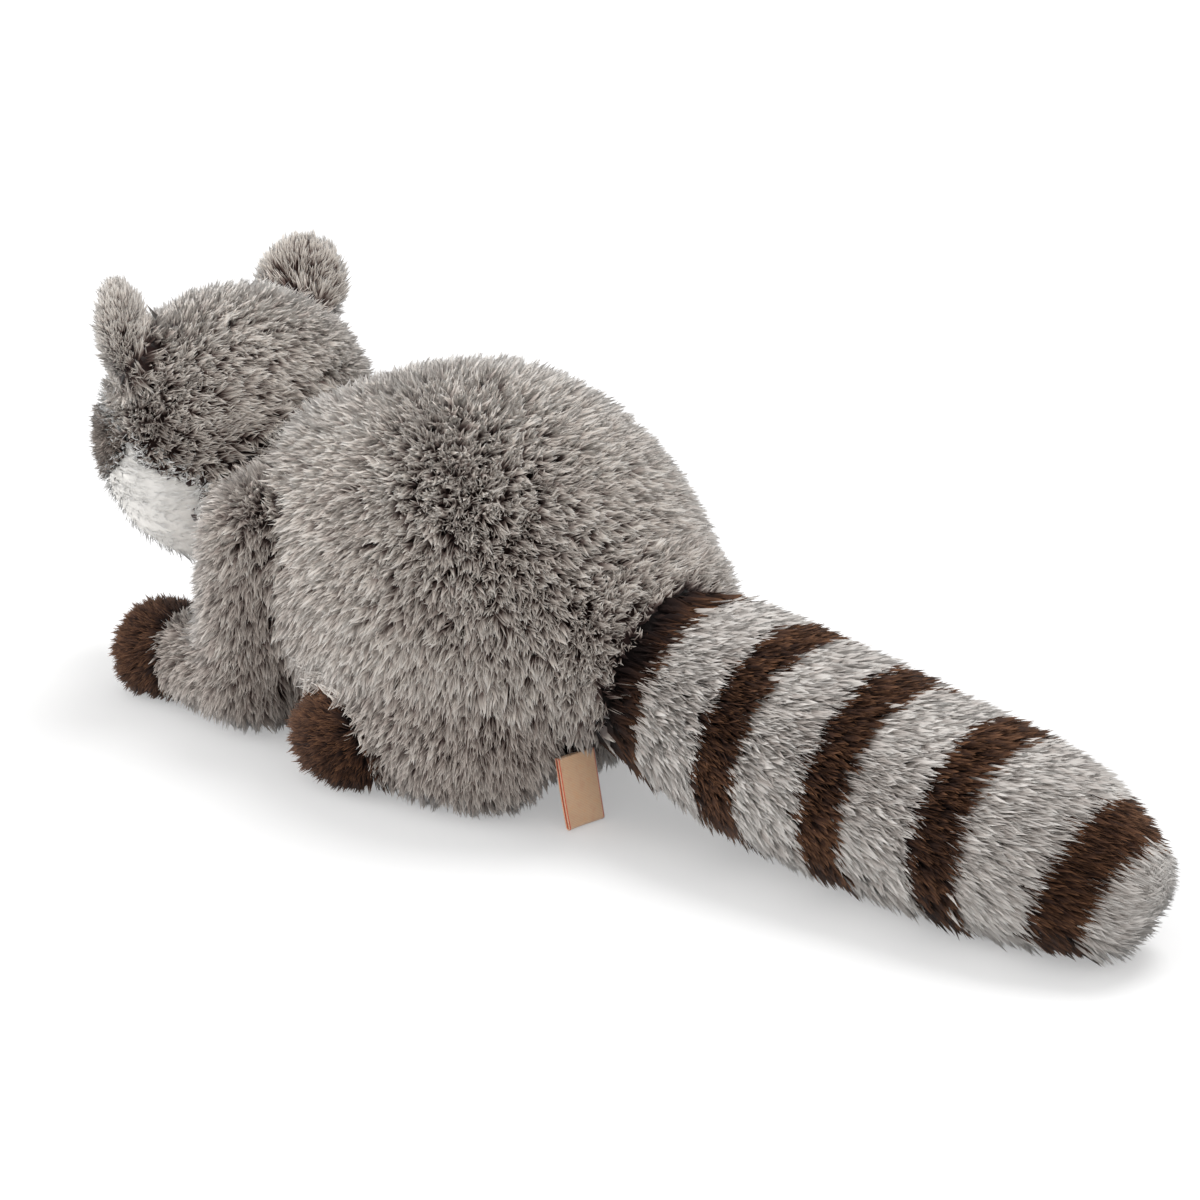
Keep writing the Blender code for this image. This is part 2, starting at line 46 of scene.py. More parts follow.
# Camera: where it looks from round the toy, how far away, and the point it looks at
CAMERA_AZIMUTH = 130.0
CAMERA_ELEVATION = 20.0
CAMERA_DISTANCE = 1.05
CAMERA_TARGET = (-0.041, -0.0229, 0.046)
CAMERA_LENS = 93.0
CAMERA_SENSOR = 36.0
CAMERA_NEAR = 0.05

# The backing cloth: one skin over the whole toy, smoothed in rounds and then cut into panels. The
# cuts are moved by a share of the pile's lean, as the pile shows ahead of its roots
SKIN_VOXEL = 3.4 * MM
SKIN_SMOOTHING = 5
SMOOTHING_STEP, SKIN_SWELL = 0.5, -0.52
DEPTH_SMOOTHING = 5
BACKING_THICKNESS = 0.9 * MM
BACKING_TONE, BACKING_HEIGHT = 0.3, 0.0
CUT_SHIFT = 0.7
BELLY_TOP = 0.030

# Where pile grows: how deep its roots sit, how far it stays clear of the floor and, at some shares
# of its length, of the eyes, the nose and the label, and how much of it is on cloth that faces down
ROOT_SINK = 0.5 * MM
FLOOR_CLEARANCE, FLOOR_SPREAD = 0.4 * MM, 0.4 * MM
EYE_CLEARANCE = 1.2 * MM
LABEL_CLEARANCE = 1.0 * MM
CLEAR_SHARES = (0.4, 0.7, 1.0)
UNDERSIDE, UNDERSIDE_SHARE = -0.45, 0.4

# Tufts: how many strands they have at least, how far these scatter at the root as a share of the
# tufts' spacing, how much of that is left at the tip, and how much the tufts' height varies
FEWEST_STRANDS = 2
TUFT_SCATTER = 0.55
GATHER = (0.08, 0.52)
TUFT_HEIGHT_SPREAD = 0.10

# Strands: each is a leaf of four triangles that is widest at its waist. The longer ones are slimmer
# and may end farther outside the solid
LEAF = ((0, 1, 2), (0, 3, 1), (1, 3, 2), (0, 2, 3))
WAIST = 0.40
SHORTEST, LONGEST = 0.82, 1.12
WIDEST, SLIMMEST = 1.3, 0.55
WIDTH_SPREAD = (0.85, 1.15)
DEEPEST_TIP, FARTHEST_TIP, TIP_CURVE = -0.6 * MM, 2.4 * MM, 1.5
TIP_JITTER = 0.6 * MM
LEAF_STRAY = 0.5
LEAF_TWIST = 0.8

# A strand belongs to the panel in which it shows, this share of the way to its tip, with some jitter
SEEN_SHARE = 0.72
EDGE_JITTER = 0.9 * MM
MASK_JITTER = 3.2 * MM

# Round the tail's root the body's pile stands up and is shorter, and eases back to its full lean
# and height farther away
TAIL_CLEAR, TAIL_EASE, LEAST_LEAN = 34 * MM, 22 * MM, 0.05
TAIL_SHORT, TAIL_SHORT_EASE = 0.5, 9 * MM

# The way the pile lies: down and backward on the body, and on the face, the ears and the paws away
# from a middle and, by these lengths, also backward, up, ahead or down
BODY_LIE = 0.5 * BACKWARD - UP
FACE_LIE_BACK = 0.3 * MM
EAR_LIE_UP = 12 * MM
PAW_LIE_AHEAD, PAW_LIE_DOWN = 12 * MM, 6 * MM

# Shade: slow patches and finer dapples over the cloth, the spread between tufts and between their
# strands, and painted light: how much brighter the grey pile is painted for each metre above a level
PATCH_SHARE, PATCH_SIZE = 0.6, 22 * MM
DAPPLE_SHARE, DAPPLE_SIZE = 0.4, 6 * MM
TUFT_TONE_SPREAD = 0.26
STRAND_TONE_SPREAD = 0.07
PAINTED_LIGHT_RISE, PAINTED_LIGHT_LEVEL = 3.5, 75 * MM
UV_MARGIN = 0.02

# The safety eyes: a ball on a bevelled shank, turned round a line
EYE_RADIUS = 6.5 * MM
SHANK_RADIUS = 2.5 * MM
SHANK_LENGTH = 13.5 * MM
SHANK_BEVEL = 0.4 * MM
BALL_STEPS = 30
ROUND_STEPS = 56

# The nose, in shares of its half size: its taper, and where its nostrils are, how large and how deep
NOSE_ROWS = 40
NOSE_MIDDLE, NOSE_TAPER = 0.86, 0.14
NOSTRIL_ACROSS, NOSTRIL_DROP = 0.42, 0.12
NOSTRIL_WIDTH, NOSTRIL_HEIGHT, NOSTRIL_DEPTH = 0.20, 0.15, 0.20

# Moulded plastic: its colour (sRGB), roughness and coat. A fine grain varies its gloss and shade
EYE_GLOSS = ((16, 11, 9), 0.10, 0.1)
NOSE_GLOSS = ((18, 16, 16), 0.32, 0.1)
WASHER_MOULDING = ((218, 218, 214), 0.5, 0.0)
GRAIN_GLOSS = (0.8, 1.3)
GRAIN_SHADES = (0.9, 1.0, 1.1)
CLOUD_STOPS = (0.3, 0.5, 0.7)

# The sewn-in label: a ribbon folded once, with its two layers a little apart. It waves and twists
# more the farther down it hangs. Across it, places run from -0.5 to 0.5
RIBBON_WIDTH = 15 * MM
RIBBON_THICKNESS = 0.35 * MM
RIBBON_GAP = 1.1 * MM
RIBBON_STEPS = 80
RIBBON_ACROSS = 24
RIBBON_WAVE, WAVE_ACROSS, WAVE_DOWN = 0.22 * MM, 5.0, 4.0
RIBBON_TWIST = 0.9 * MM
RIBBON_EDGE, EDGE_PLACE, EDGE_WIDTH = 0.08 * MM, 0.47, 0.02

# Its colours (sRGB): the red line by how far it is from the middle, faint clouds, and the threads
LINE_STOPS = (0.455, 0.47, 0.482, 0.495)
LINE_COLOURS = ((255, 214, 176), (236, 84, 54), (236, 84, 54), (255, 210, 170))
CLOUD_COLOURS = ((250, 236, 226), (255, 252, 248), (255, 243, 228))
THREAD_STOPS = (0.0, 0.5, 1.0)
THREAD_COLOURS = ((238, 238, 238), (250, 250, 250), (255, 255, 255))

# Light: what the surround adds, and from where each soft lamp shines, how strong and how soft it is
WORLD_LIGHT = 0.84
KEY_LIGHT = ((-0.34, 0.06, 1.0), 1.3, 26)
FILL_LIGHT = ((0.48, -0.86, 0.14), 2.2, 50)

# The floor's paper: how pale it is for light and where it is seen, and how much of its white is its
# own where it is seen
FLOOR_COLOUR, FLOOR_SEEN_COLOUR = 0.70, 0.96
FLOOR_OWN_WHITE = 0.35
FLOOR_REACH = 3.0


class Pile(NamedTuple):
    """How the pile grows on one kind of panel. Lengths are in millimetres.

    It has its look and depth, the strands on a square millimetre, their width, the tufts' spacing,
    the lean along the lie of the pile, the stray of the tips and the bow of the strands as shares of
    the height, and how much brighter its shade is. On the ears this is partly painted light, and on
    the legs it is painted shade.
    """

    look: str
    depth: float
    strands: float
    width: float
    tuft: float
    lean: float
    stray: float
    bow: float
    bright: float = 0.0


BODY_PILE = Pile("grey", 8.5, 1.75, 0.31, 2.15, 0.48, 0.15, 0.15, 0.05)
# Painted shade: the haunches' and forelegs' pile is painted darker, as shade that falls low on the
# toy
LEG_PILE = Pile("grey", 7.5, 1.75, 0.31, 2.15, 0.45, 0.15, 0.15, -0.28)
HEAD_PILE = Pile("grey", 7.0, 1.85, 0.30, 2.1, 0.65, 0.15, 0.15, 0.02)
# Partly painted light: the ears' pile is much brighter, partly for its paler grey and partly to light
# ears that face away from the fill lamp
EAR_PILE = Pile("grey", 3.5, 2.85, 0.31, 1.5, 1.20, 0.16, 0.12, 0.70)
FACE_PILE = Pile("white", 2.2, 0.45, 0.24, 2.2, 2.60, 0.10, 0.05)
MUZZLE_PILE = Pile("white", 2.0, 0.70, 0.24, 1.8, 2.40, 0.10, 0.05)
MASK_PILE = Pile("mask", 4.5, 2.40, 0.34, 1.7, 0.70, 0.18, 0.14)
PAW_PILE = Pile("dark", 4.5, 2.30, 0.34, 1.6, 0.60, 0.18, 0.14, 0.15)
DARK_RING_PILE = Pile("dark", 6.5, 1.75, 0.29, 1.6, 1.50, 0.12, 0.13)
GREY_RING_PILE = Pile("ring_grey", 6.5, 1.75, 0.27, 1.6, 1.60, 0.12, 0.13, 0.16)

PILES = {
    "body": BODY_PILE,
    "haunch": LEG_PILE,
    "foreleg": LEG_PILE,
    "head": HEAD_PILE,
    "ear": EAR_PILE,
    "face": FACE_PILE,
    "muzzle": MUZZLE_PILE,
    "mask": MASK_PILE,
    "hind_paw": PAW_PILE,
    "forepaw": PAW_PILE,
}

# Each look: the colours from the root to the tip on a shaded and on a bright strand (sRGB)
LOOKS = {
    "grey": (
        ((56, 38, 36), (84, 66, 61), (174, 160, 151), (244, 233, 222)),
        ((72, 53, 49), (120, 102, 95), (240, 230, 219), (255, 252, 247)),
    ),
    "mask": (
        ((32, 23, 21), (54, 43, 39), (116, 101, 92), (184, 170, 158)),
        ((44, 34, 31), (88, 75, 68), (172, 157, 146), (238, 228, 217)),
    ),
    "dark": (
        ((16, 9, 9), (26, 16, 15), (44, 28, 23), (82, 55, 40)),
        ((24, 15, 14), (50, 32, 26), (96, 65, 47), (154, 110, 78)),
    ),
    "ring_grey": (
        ((132, 121, 115), (158, 147, 140), (190, 180, 173), (216, 208, 201)),
        ((160, 150, 143), (204, 195, 188), (238, 232, 226), (250, 247, 242)),
    ),
    "white": (
        ((244, 241, 236), (248, 246, 242), (250, 248, 245), (252, 250, 248)),
        ((248, 246, 242), (251, 249, 246), (253, 252, 250), (254, 253, 252)),
    ),
}
RAMP_STOPS = (0.0, 0.42, 0.74, 1.0)
SHEEN = {"grey": 0.65, "mask": 0.35, "dark": 0.10, "ring_grey": 0.30, "white": 0.0}

# How far a strand is shaded by its own shape: at 0 it is shaded as the cloth under it
OWN_SHADING = {"grey": 0.45, "mask": 0.45, "dark": 0.6, "ring_grey": 0.5, "white": 0.15}


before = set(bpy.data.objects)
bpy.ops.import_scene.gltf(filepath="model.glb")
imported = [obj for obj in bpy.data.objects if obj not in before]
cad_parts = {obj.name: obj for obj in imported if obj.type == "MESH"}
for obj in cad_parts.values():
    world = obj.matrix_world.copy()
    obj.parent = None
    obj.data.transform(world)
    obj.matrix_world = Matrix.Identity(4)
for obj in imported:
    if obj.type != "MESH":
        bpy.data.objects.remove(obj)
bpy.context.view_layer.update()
rng = np.random.default_rng(SEED)


def linear(colour, alpha=1.0):
    """An sRGB colour of 0 to 255 as the linear colour that a node takes."""
    shares = [part / 255 for part in colour]
    parts = [s / 12.92 if s <= 0.04045 else ((s + 0.055) / 1.055) ** 2.4 for s in shares]
    return (*parts, alpha)


def unit(vectors):
    """Vectors brought to length 1."""
    return vectors / np.maximum(np.linalg.norm(vectors, axis=-1, keepdims=True), 1e-12)


def flat_on(vectors, normals):
    """The part of each vector that lies at right angles to a normal of length 1."""
    return vectors - normals * np.sum(vectors * normals, axis=1, keepdims=True)


def mesh_arrays(mesh):
    """A mesh's points and its triangles."""
    mesh.calc_loop_triangles()
    points = np.empty(len(mesh.vertices) * 3)
    mesh.vertices.foreach_get("co", points)
    triangles = np.empty(len(mesh.loop_triangles) * 3, dtype=np.int64)
    mesh.loop_triangles.foreach_get("vertices", triangles)
    return points.reshape(-1, 3), triangles.reshape(-1, 3)


def facings(points, triangles):
    """The way each triangle faces, as a vector whose length is twice its area."""
    corners = points[triangles]
    return np.cross(corners[:, 1] - corners[:, 0], corners[:, 2] - corners[:, 0])


def placed(name, data):
    """A new object in the scene."""
    thing = bpy.data.objects.new(name, data)
    bpy.context.scene.collection.objects.link(thing)
    return thing


def soft_nodes():
    """The CAD nodes under the skin. The eyes and washers only fill the holes that they sit in."""
    left_out = ("nose", "care_label")
    return [name for name in sorted(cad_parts) if name not in left_out]


def whole_toy():
    """The points and triangles of every node under the skin, with the node of each triangle."""
    points, triangles, owners = [], [], []
    names = soft_nodes()
    offset = 0
    for index, name in enumerate(names):
        node_points, node_triangles = mesh_arrays(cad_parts[name].data)
        points.append(node_points)
        triangles.append(node_triangles + offset)
        owners.append(np.full(len(node_triangles), index))
        offset += len(node_points)
    return names, np.concatenate(points), np.concatenate(triangles), np.concatenate(owners)


def remeshed(points, triangles):
    """One closed skin round all the solids."""
    mesh = bpy.data.meshes.new("skin_source")
    mesh.from_pydata(points.tolist(), [], triangles.tolist())
    source = placed("skin_source", mesh)
    step = source.modifiers.new("remesh", "REMESH")
    step.mode = "VOXEL"
    step.voxel_size = SKIN_VOXEL
    shape = source.evaluated_get(bpy.context.evaluated_depsgraph_get()).to_mesh()
    found = mesh_arrays(shape)
    bpy.data.objects.remove(source)
    bpy.data.meshes.remove(mesh)
    return found


def edges_of(triangles):
    """The three edges of each triangle, each in the direction that goes round it."""
    return np.concatenate([triangles[:, [0, 1]], triangles[:, [1, 2]], triangles[:, [2, 0]]])


def smoothed(values, triangles, rounds, back=0.0):
    """Values at the points of a mesh, each eased towards the mean of its neighbours.

    With a share back, each round ends with a step the other way, so that a form keeps its size.
    """
    edges = edges_of(triangles)
    counts = np.bincount(edges[:, 0], minlength=len(values))
    counts = np.maximum(counts, 1).reshape((-1,) + (1,) * (values.ndim - 1))
    for _ in range(rounds):
        for step in (SMOOTHING_STEP, back) if back else (SMOOTHING_STEP,):
            total = np.zeros_like(values)
            np.add.at(total, edges[:, 0], values[edges[:, 1]])
            values = values + step * (total / counts - values)
    return values


def point_normals(points, triangles):
    """The way a mesh faces at each of its points."""
    across = facings(points, triangles)
    total = np.zeros_like(points)
    for corner in range(3):
        np.add.at(total, triangles[:, corner], across)
    return unit(total)


def pile_of(name):
    """The pile of the panel that stands for a node."""
    if name.startswith("tail"):
        return DARK_RING_PILE if name.endswith("dark") else GREY_RING_PILE
    if name.startswith("eye"):
        return MASK_PILE
    return PILES[name.replace("_left", "").replace("_right", "")]


def middle(name):
    """The middle of a node's box."""
    low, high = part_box(name)
    return (np.array(low) + np.array(high)) / 2


def lie_of(name, points, normals):
    """The way the pile lies at each point of a node's panel, along the cloth."""
    if name.startswith("tail"):
        raw = np.tile(BACKWARD, (len(points), 1))
    elif name.startswith(("face", "mask", "eye", "muzzle")):
        raw = points - middle("nose") + FACE_LIE_BACK * BACKWARD
    elif name.startswith("ear"):
        raw = points - middle(name) + EAR_LIE_UP * UP
    elif name.startswith(("forepaw", "hind_paw")):
        raw = points - middle(name) - PAW_LIE_AHEAD * BACKWARD - PAW_LIE_DOWN * UP
    elif name == "head":
        raw = points - middle("nose")
    else:
        raw = np.tile(BODY_LIE, (len(points), 1))
    return unit(flat_on(raw, normals))


def from_tail_root(points):
    """How far each point is from the middle of the tail's first ring."""
    return np.linalg.norm(points - middle("tail_ring_1_dark"), axis=1)


def lean_at(name, points):
    """The lean of a node's pile at each point. Round the tail's root it stands up on the body and
    the haunches, so that the first ring shows."""
    lean = np.full(len(points), pile_of(name).lean)
    if name == "body" or name.startswith("haunch"):
        lean *= np.clip((from_tail_root(points) - TAIL_CLEAR) / TAIL_EASE, LEAST_LEAN, 1.0)
    return lean


def height_at(name, points):
    """The share of its full height that a node's pile has at each point: less by the tail's root."""
    if name != "body":
        return np.ones(len(points))
    away = from_tail_root(points)
    return np.clip(TAIL_SHORT + (away - TAIL_CLEAR) / TAIL_SHORT_EASE, TAIL_SHORT, 1.0)


def lean_shift(names, owner, points, normals):
    """How far the tips of the pile end up along the cloth from their roots."""
    shift = np.zeros_like(points)
    for index in np.unique(owner):
        chosen = owner == index
        pile = pile_of(names[index])
        lie = lie_of(names[index], points[chosen], normals[chosen])
        lean = lean_at(names[index], points[chosen])
        shift[chosen] = lie * (lean * pile.depth * MM)[:, None]
    return shift


class Skin(NamedTuple):
    """The backing of the whole toy, and which node each of its triangles stands for.

    Outside holds the points where the pile ends, and points those of the cloth under it.
    """

    names: list
    node_at: Callable
    held_in: Callable
    outside: np.ndarray
    points: np.ndarray
    normals: np.ndarray
    triangles: np.ndarray
    owners: np.ndarray


def make_skin():
    """The skin over all the solids, sunk by the depth of each node's pile."""
    names, toy_points, toy_triangles, toy_owners = whole_toy()
    tree = BVHTree.FromPolygons(toy_points.tolist(), toy_triangles.tolist())

    def node_at(places):
        """The node that is nearest to each place, as its index in names."""
        return np.array([toy_owners[tree.find_nearest(Vector(place))[2]] for place in places])

    def held_in(tips, allowed):
        """The tips, with those too far outside the CAD solids brought back towards them."""
        found = [tree.find_nearest(Vector(tip))[:2] for tip in tips]
        surface = np.array([place for place, _ in found])
        facing = np.array([normal for _, normal in found])
        gap = np.linalg.norm(tips - surface, axis=1)
        over = np.where(np.sum((tips - surface) * facing, axis=1) > 0, gap - allowed, 0.0)
        return tips - unit(tips - surface) * np.maximum(over, 0.0)[:, None]

    outside, triangles = remeshed(toy_points, toy_triangles)
    outside = smoothed(outside, triangles, SKIN_SMOOTHING, back=SKIN_SWELL)
    normals = point_normals(outside, triangles)
    owner = node_at(outside)
    depth = np.array([pile_of(name).depth * MM for name in names])[owner]
    depth = smoothed(depth, triangles, DEPTH_SMOOTHING)
    points = outside - normals * depth[:, None]
    centres = outside[triangles].mean(axis=1)
    facing = unit(normals[triangles].mean(axis=1))
    rough = owner[triangles[:, 0]]
    reach = centres + CUT_SHIFT * lean_shift(names, rough, centres, facing)
    return Skin(names, node_at, held_in, outside, points, normals, triangles, node_at(reach))


def closed_shell(points, normals, triangles):
    """A patch of the skin with its thickness, as one closed form."""
    used, patch = np.unique(triangles, return_inverse=True)
    patch = patch.reshape(-1, 3)
    count = len(used)
    outer = points[used]
    inner = outer - normals[used] * BACKING_THICKNESS
    edges = edges_of(patch)
    keys = edges[:, 0] * count + edges[:, 1]
    mirrored = edges[:, 1] * count + edges[:, 0]
    rim = edges[~np.isin(keys, mirrored)]
    walls = np.concatenate(
        [
            np.stack([rim[:, 1], rim[:, 0], rim[:, 0] + count], axis=1),
            np.stack([rim[:, 1], rim[:, 0] + count, rim[:, 1] + count], axis=1),
        ]
    )
    faces = np.concatenate([patch, patch[:, ::-1] + count, walls])
    return np.concatenate([outer, inner]), faces


def tuft_places(skin, chosen, pile):
    """Even places for the tufts over the chosen triangles: each one's place outside and on the
    cloth, and the skin's direction there."""
    across = facings(skin.outside, skin.triangles[chosen])
    area = np.linalg.norm(across, axis=1) / 2
    share = np.where(unit(across)[:, 2] < UNDERSIDE, UNDERSIDE_SHARE, 1.0)
    running = np.cumsum(area * share) / (pile.tuft * MM) ** 2
    count = int(running[-1])
    marks = np.arange(count) + rng.random(count)
    where = np.minimum(np.searchsorted(running, marks), len(area) - 1)
    first, second = rng.random((2, count))
    over = first + second > 1
    first[over], second[over] = 1 - first[over], 1 - second[over]
    weights = np.stack([1 - first - second, first, second], axis=1)
    faces = skin.triangles[chosen][where]
    outside = np.einsum("ij,ijk->ik", weights, skin.outside[faces])
    roots = np.einsum("ij,ijk->ik", weights, skin.points[faces])
    normals = unit(np.einsum("ij,ijk->ik", weights, skin.normals[faces]))
    return outside, roots, normals


def tones(places):
    """A slow change of shade over the cloth, from 0 to 1."""
    found = [
        PATCH_SHARE * noise.noise(Vector(place / PATCH_SIZE))
        + DAPPLE_SHARE * noise.noise(Vector(place / DAPPLE_SIZE))
        for place in places
    ]
    return 0.5 + 0.5 * np.array(found)


def keep_off(points, tips):
    """Which strands stay clear of the eyes, the nose and the label."""
    keep = np.ones(len(points), dtype=bool)
    for eye in EYES.values():
        for ends in (points, tips):
            keep &= np.linalg.norm(ends - eye, axis=1) > EYE_RADIUS + EYE_CLEARANCE
    low, high = (np.array(corner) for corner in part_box("nose"))
    for share in CLEAR_SHARES:
        ends = points + share * (tips - points)
        keep &= ~np.all((ends > low - EYE_CLEARANCE) & (ends < high + EYE_CLEARANCE), axis=1)
        local = (ends - LABEL["middle"]) @ LABEL["axes"].T
        keep &= ~np.all(np.abs(local) < LABEL["half"] + LABEL_CLEARANCE, axis=1)
    return keep


def leaves(base, tip, normals, rank, pile):
    """Four points for each strand: its root, the two sides of its waist and its tip.

    The rank runs from 0 on the widest strands to 1 on the slimmest.
    """
    total = len(base)
    along = unit(tip - base)
    reach = np.linalg.norm(tip - base, axis=1, keepdims=True)
    outward = normals + rng.normal(size=(total, 3)) * LEAF_STRAY
    outward = unit(flat_on(outward, along))
    sideways = np.cross(along, outward)
    twist = rng.uniform(-LEAF_TWIST, LEAF_TWIST, total)[:, None]
    width_way = sideways * np.cos(twist) + outward * np.sin(twist)
    waist = base + (tip - base) * WAIST + outward * reach * pile.bow
    slimness = (WIDEST - (WIDEST - SLIMMEST) * rank)[:, None]
    half = pile.width * MM * 0.5 * slimness * rng.uniform(*WIDTH_SPREAD, total)[:, None]
    points = np.stack([base, waist + width_way * half, waist - width_way * half, tip], axis=1)
    low = FLOOR_CLEARANCE + FLOOR_SPREAD * rng.random((total, 4))
    points[:, :, 2] = np.maximum(points[:, :, 2], low)
    return points


def strands(skin, name, chosen):
    """The pile that grows on one node's cloth: the points of each strand, its tone and the
    direction that the cloth faces under it."""
    pile = pile_of(name)
    outside, roots, normals = tuft_places(skin, chosen, pile)
    per_tuft = max(int(round(pile.strands * pile.tuft**2)), FEWEST_STRANDS)
    lie = lie_of(name, outside, normals)
    count = len(outside)
    stray = rng.normal(size=(count, 3)) * pile.stray
    depth = np.linalg.norm(outside - roots, axis=1)
    height = depth * rng.normal(1.0, TUFT_HEIGHT_SPREAD, count) * height_at(name, outside)
    lean = lean_at(name, outside)[:, None]
    tuft_tip = roots + (normals + lie * lean + stray) * height[:, None]
    shade = tones(outside) + pile.bright
    # Painted light: the grey pile is painted lighter the higher it grows and darker low down
    if pile.look == "grey":
        shade += PAINTED_LIGHT_RISE * (outside[:, 2] - PAINTED_LIGHT_LEVEL)
    tone = np.clip(shade + rng.normal(0, TUFT_TONE_SPREAD, count), 0, 1)

    def each(values):
        """A tuft's value for each of its strands."""
        return np.repeat(values, per_tuft, axis=0)

    total = count * per_tuft
    normals = each(normals)
    scatter = rng.normal(size=(total, 3)) * (pile.tuft * MM * TUFT_SCATTER)
    scatter = flat_on(scatter, normals)
    base = each(roots) + scatter - normals * ROOT_SINK
    gather = rng.uniform(*GATHER, total)[:, None]
    jitter = rng.normal(size=(total, 3)) * TIP_JITTER
    rank = rng.random(total)
    length = (SHORTEST + (LONGEST - SHORTEST) * rank)[:, None]
    tip = base + (each(tuft_tip) + scatter * gather + jitter - base) * length
    tip = skin.held_in(tip, DEEPEST_TIP + (FARTHEST_TIP - DEEPEST_TIP) * rank**TIP_CURVE)
    tone = np.clip(each(tone) + rng.normal(0, STRAND_TONE_SPREAD, total), 0, 1)

    keep = keep_off(base, tip)
    base, tip, normals, tone = base[keep], tip[keep], normals[keep], tone[keep]
    return leaves(base, tip, normals, rank[keep], pile), tone, normals


def all_strands(skin):
    """The pile of the whole toy, the node in whose area each strand shows, and where it does."""
    grown = [
        strands(skin, skin.names[index], np.flatnonzero(skin.owners == index))
        for index in np.unique(skin.owners)
    ]
    points, tone, normals = (np.concatenate(part) for part in zip(*grown))
    seen = points[:, 0] + SEEN_SHARE * (points[:, 3] - points[:, 0])
    masked = np.array([name.startswith(("mask", "eye")) for name in skin.names])
    near_mask = masked[skin.node_at(seen + rng.normal(size=seen.shape) * MASK_JITTER)]
    near_mask |= masked[skin.node_at(seen)]
    jitter = np.where(near_mask, MASK_JITTER, EDGE_JITTER)[:, None]
    seen = seen + rng.normal(size=seen.shape) * jitter
    return points, tone, normals, skin.node_at(seen), seen


def strand_mesh(points, tone):
    """The strands' points and triangles in a row, with each point's tone and height on its strand."""
    total = len(points)
    start = 4 * np.arange(total)[:, None, None]
    triangles = (start + np.array(LEAF)[None]).reshape(-1, 3)
    height = np.tile(np.array([0.0, WAIST, WAIST, 1.0]), total)
    return points.reshape(-1, 3), triangles, np.stack([np.repeat(tone, 4), height], axis=1)


def build_mesh(name, points, triangles, tone_and_height, facing, own_shading):
    """A mesh from arrays, with the tone and the height along the strand kept as its UV map.

    It is shaded between its own shape and the way the cloth faces, as soft pile is.
    """
    mesh = bpy.data.meshes.new(name)
    mesh.vertices.add(len(points))
    mesh.vertices.foreach_set("co", points.astype(np.float32).ravel())
    mesh.loops.add(triangles.size)
    mesh.loops.foreach_set("vertex_index", triangles.astype(np.int32).ravel())
    mesh.polygons.add(len(triangles))
    mesh.polygons.foreach_set("loop_start", np.arange(0, triangles.size, 3, dtype=np.int32))
    mesh.update(calc_edges=True)
    layer = mesh.uv_layers.new(name="OFBake")
    spread = UV_MARGIN + (1 - 2 * UV_MARGIN) * tone_and_height[triangles.ravel()]
    layer.data.foreach_set("uv", spread.astype(np.float32).ravel())
    mesh.shade_smooth()
    own = np.empty(len(points) * 3, dtype=np.float32)
    mesh.vertices.foreach_get("normal", own)
    mixed = unit(own.reshape(-1, 3) * own_shading + facing)
    mesh.normals_split_custom_set_from_vertices(mixed)
    return mesh


def feed(tree, node, values):
    """Puts numbers, colours and other nodes' outputs into a node's sockets."""
    for name, value in values.items():
        if isinstance(value, bpy.types.NodeSocket):
            tree.links.new(value, node.inputs[name])
        else:
            node.inputs[name].default_value = value


def add_node(tree, kind, values, **settings):
    """A new shader node with its settings, and with these values in its sockets."""
    node = tree.nodes.new(f"ShaderNode{kind}")
    for name, value in settings.items():
        setattr(node, name, value)
    feed(tree, node, values)
    return node


def maths(tree, operation, *values):
    """The result of one operation on numbers and other nodes' outputs."""
    return add_node(tree, "Math", dict(enumerate(values)), operation=operation).outputs["Value"]


def relief(tree, height, strength, distance):
    """The way a surface faces with a fine relief on it."""
    bump = add_node(tree, "Bump", {"Strength": strength, "Distance": distance, "Height": height})
    return bump.outputs["Normal"]


def ramp(tree, stops, colours, factor):
    """A colour that runs through these colours as the factor passes the stops."""
    node = tree.nodes.new("ShaderNodeValToRGB")
    points = node.color_ramp.elements
    points[0].position, points[1].position = stops[0], stops[-1]
    points[0].color, points[1].color = linear(colours[0]), linear(colours[-1])
    for stop, colour in zip(stops[1:-1], colours[1:-1]):
        points.new(stop).color = linear(colour)
    tree.links.new(factor, node.inputs["Fac"])
    return node.outputs["Color"]


def new_material(name):
    """A material with its nodes and its shader."""
    material = bpy.data.materials.new(name)
    material.use_nodes = True
    tree = material.node_tree
    return material, tree, tree.nodes["Principled BSDF"]


def uv_place(tree, layer):
    """The place on a UV map, whole and as its parts."""
    uv = tree.nodes.new("ShaderNodeUVMap")
    uv.uv_map = layer
    parts = add_node(tree, "SeparateXYZ", {"Vector": uv.outputs["UV"]})
    return uv.outputs["UV"], parts.outputs


def pile_material(name):
    """Pile whose colour runs from root to tip, mixed by each strand's own shade."""
    material, tree, shader = new_material(f"plush_{name}")
    _, parts = uv_place(tree, "OFBake")
    shaded, bright = (ramp(tree, RAMP_STOPS, colours, parts["Y"]) for colours in LOOKS[name])
    layers = {"Factor": parts["X"], "A": shaded, "B": bright}
    colour = add_node(tree, "Mix", layers, data_type="RGBA").outputs["Result"]
    looks = {
        "Base Color": colour,
        "Roughness": 0.85,
        "Specular IOR Level": 0.2,
        "Sheen Weight": SHEEN[name],
        "Sheen Roughness": 0.45,
    }
    feed(tree, shader, looks)
    return material


def add_piece(name, mesh, material, node):
    """A finished mesh as a piece that rides on the toy and stands for a CAD node."""
    mesh.materials.append(material)
    piece = placed(name, mesh)
    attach(piece, "root")
    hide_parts(node)
    return piece


